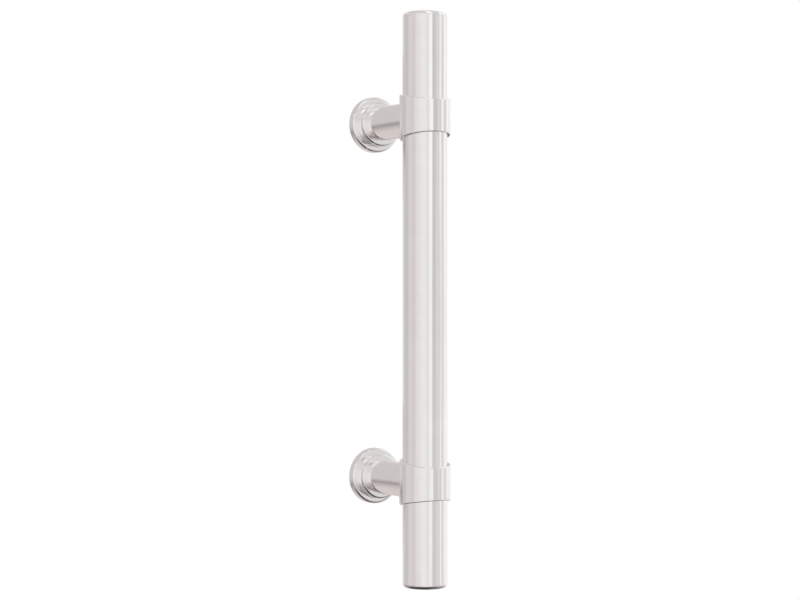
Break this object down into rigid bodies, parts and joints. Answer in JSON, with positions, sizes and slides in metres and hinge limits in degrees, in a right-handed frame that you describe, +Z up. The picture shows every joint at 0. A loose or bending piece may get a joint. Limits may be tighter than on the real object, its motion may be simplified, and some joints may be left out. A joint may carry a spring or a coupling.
{
  "type": "cabinet handle",
  "caption": "Bar pull in polished nickel: a round bar in wedge-cut collars on turned posts with stepped rosettes, fixed from behind the door by screws.",
  "frame": {"origin": "On the door face, midway between the two fixing screws", "axes": "+Z up along the bar, +Y into the door, so the bar stands out towards -Y, and +X to the right as seen from in front of the door"},
  "size_m": [0.024, 0.0526, 0.2394],
  "materials": {
    "polished_nickel": "polished",
    "stud_steel": "satin"
  },
  "bodies": {
    "root": {"grip_bar": "polished_nickel", "upper_collar": "polished_nickel", "lower_collar": "polished_nickel", "upper_post": "polished_nickel", "lower_post": "polished_nickel", "upper_rosette": "polished_nickel", "lower_rosette": "polished_nickel", "joining_studs": "stud_steel"}
  },
  "joints": []
}
